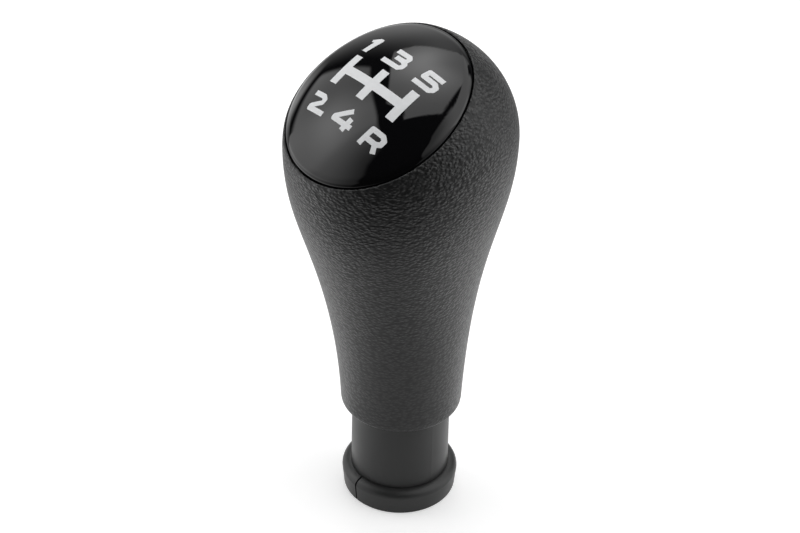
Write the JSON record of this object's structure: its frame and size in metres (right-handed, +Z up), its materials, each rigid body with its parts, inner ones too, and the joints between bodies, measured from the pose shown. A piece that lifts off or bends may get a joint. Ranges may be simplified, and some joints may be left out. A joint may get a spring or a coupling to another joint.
{
  "type": "gear shift knob",
  "caption": "Soft-grip gear shift knob with a domed gloss cap that shows the shift pattern, on a plain collar with a gaiter ring.",
  "frame": {"origin": "centre of the lever bore's mouth, which is the centre of the gaiter ring's bottom face", "axes": "+Z up the lever's axis; +Y forward in the car, so the cap slopes down towards the driver at -Y; +X to the fifth gear's side"},
  "size_m": [0.046, 0.0508, 0.1143],
  "materials": {
    "soft_skin": "matt soft-touch skin with a fine leather grain",
    "core_plastic": "smooth satin moulding",
    "ring_plastic": "smooth satin moulding",
    "gloss_black": "polished high gloss",
    "mark_silver": "pale silver marking, flush with the cap",
    "insert_metal": "turned"
  },
  "bodies": {
    "root": {"grip": "soft_skin", "core": "core_plastic", "lever_insert": "insert_metal", "gaiter_ring": "ring_plastic", "cap": "gloss_black", "gate_lines": "mark_silver", "gear_numbers": "mark_silver"}
  },
  "joints": []
}
